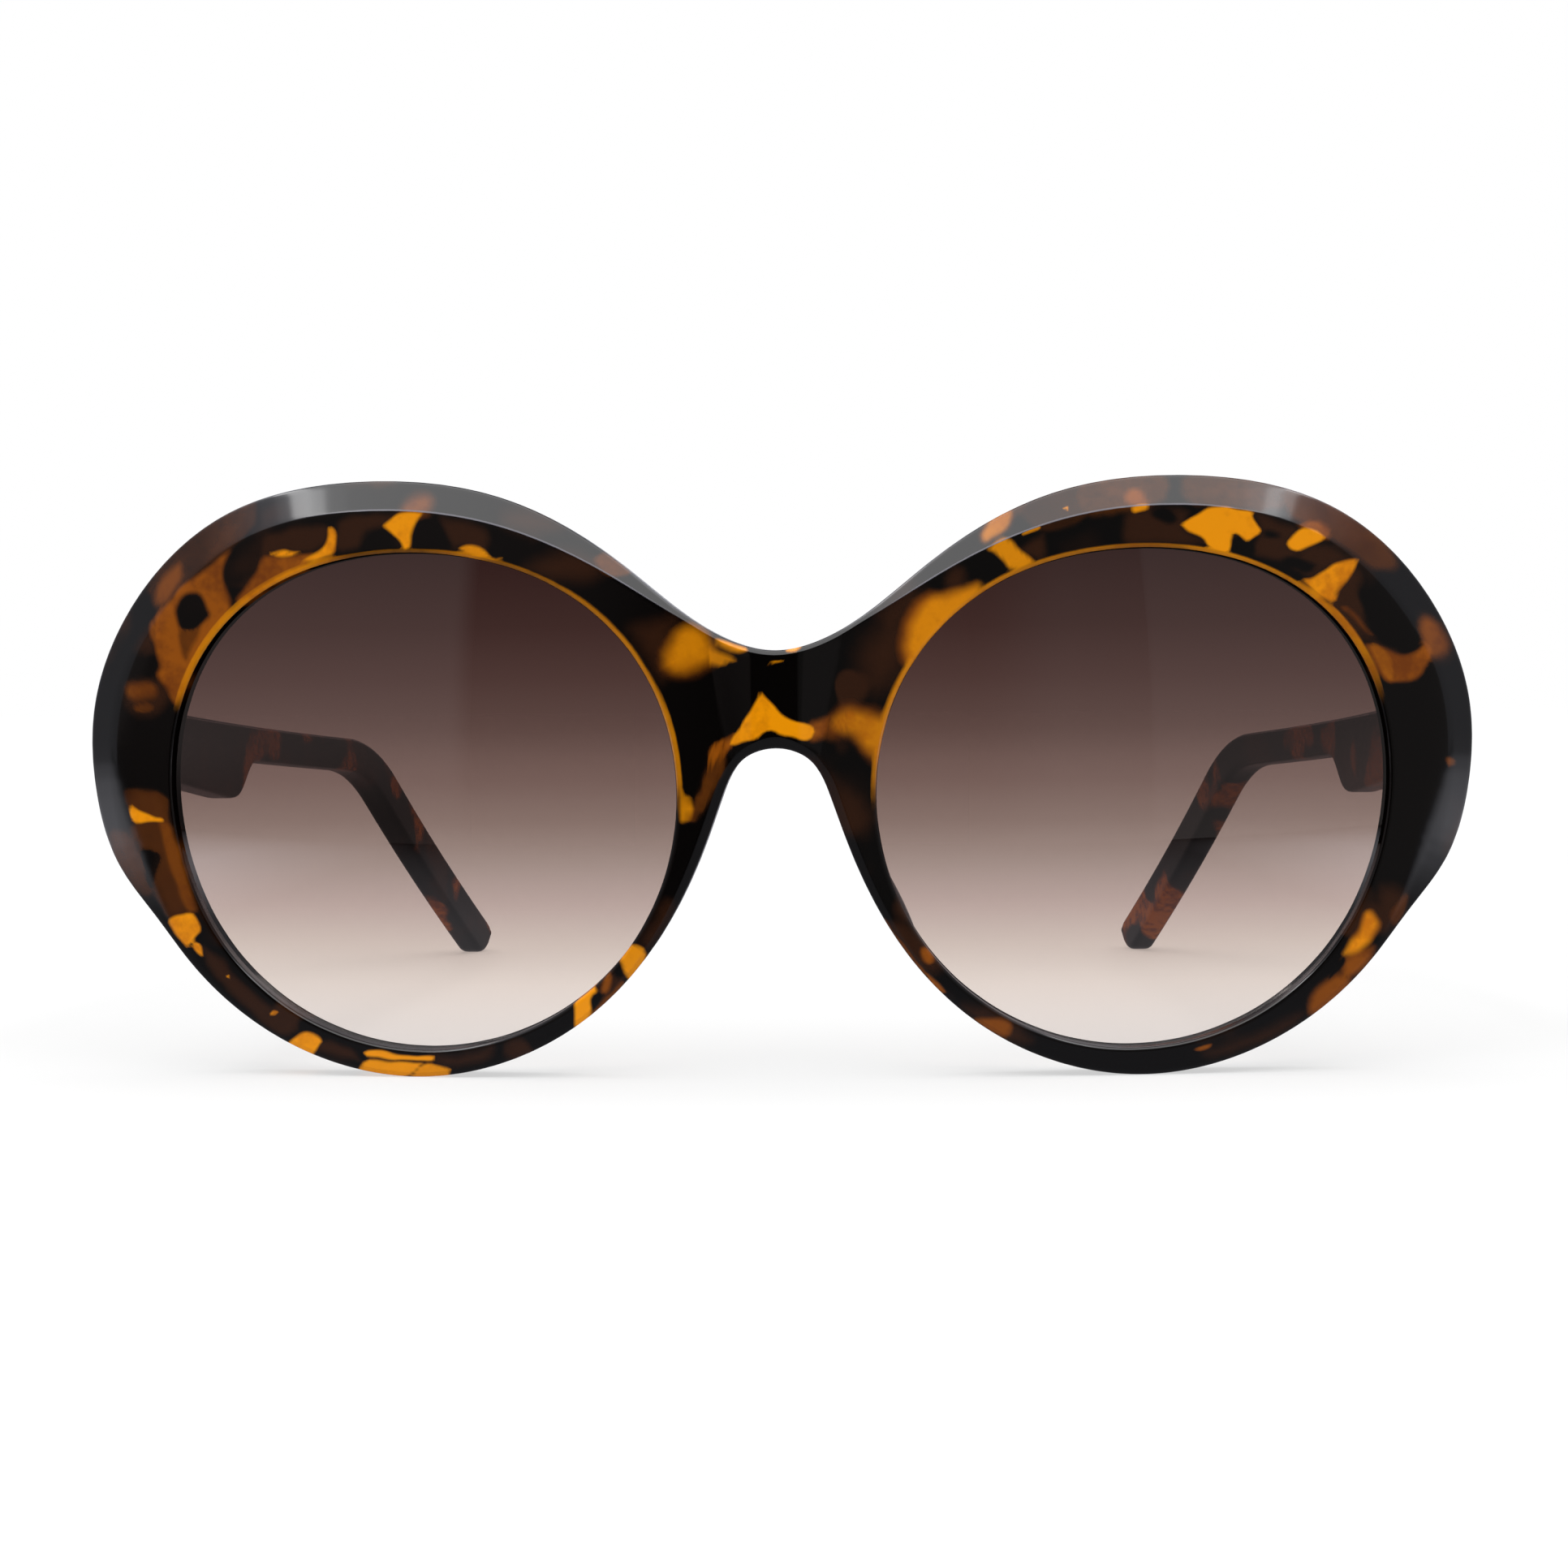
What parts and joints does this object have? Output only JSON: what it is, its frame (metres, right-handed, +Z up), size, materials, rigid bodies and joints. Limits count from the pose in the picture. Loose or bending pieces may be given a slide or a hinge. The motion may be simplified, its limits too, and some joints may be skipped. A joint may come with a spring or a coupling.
{
  "type": "sunglasses",
  "caption": "Oversized near-round sunglasses: thick faceted plastic front, gradient tinted lenses and hinged temples with bent-down ear ends that fold behind the front.",
  "frame": {"origin": "table level under the middle, halfway between the bridge's front and the temple tips", "axes": "+Z up; -Y is the way the wearer looks; +X is the wearer's left"},
  "size_m": [0.1504, 0.15, 0.0641],
  "materials": {
    "front_acetate": "polished tortoiseshell",
    "temple_acetate": "polished tortoiseshell",
    "pad_acetate": "polished tortoiseshell",
    "lens_tint": "clear, brown gradient tint, dark at the top",
    "hinge_metal": "plain nickel silver",
    "screw_metal": "plain",
    "core_metal": "drawn wire"
  },
  "bodies": {
    "front": {"front_frame": "front_acetate", "left_lens": "lens_tint", "right_lens": "lens_tint", "left_nose_pad": "pad_acetate", "right_nose_pad": "pad_acetate", "left_hinge_front_leaf": "hinge_metal", "right_hinge_front_leaf": "hinge_metal", "left_hinge_screw": "screw_metal", "right_hinge_screw": "screw_metal"},
    "left_arm": {"left_temple": "temple_acetate", "left_core_wire": "core_metal", "left_hinge_temple_leaf": "hinge_metal"},
    "right_arm": {"right_temple": "temple_acetate", "right_core_wire": "core_metal", "right_hinge_temple_leaf": "hinge_metal"}
  },
  "joints": [
    {"name": "left_temple_fold", "type": "hinge", "parent": "front", "child": "left_arm", "pos_m": [0.06807, -0.05905, 0.03682], "axis": [0, 0, 1], "range_deg": [0, 82]},
    {"name": "right_temple_fold", "type": "hinge", "parent": "front", "child": "right_arm", "pos_m": [-0.06807, -0.05905, 0.03682], "axis": [0, 0, -1], "range_deg": [0, 76]}
  ]
}
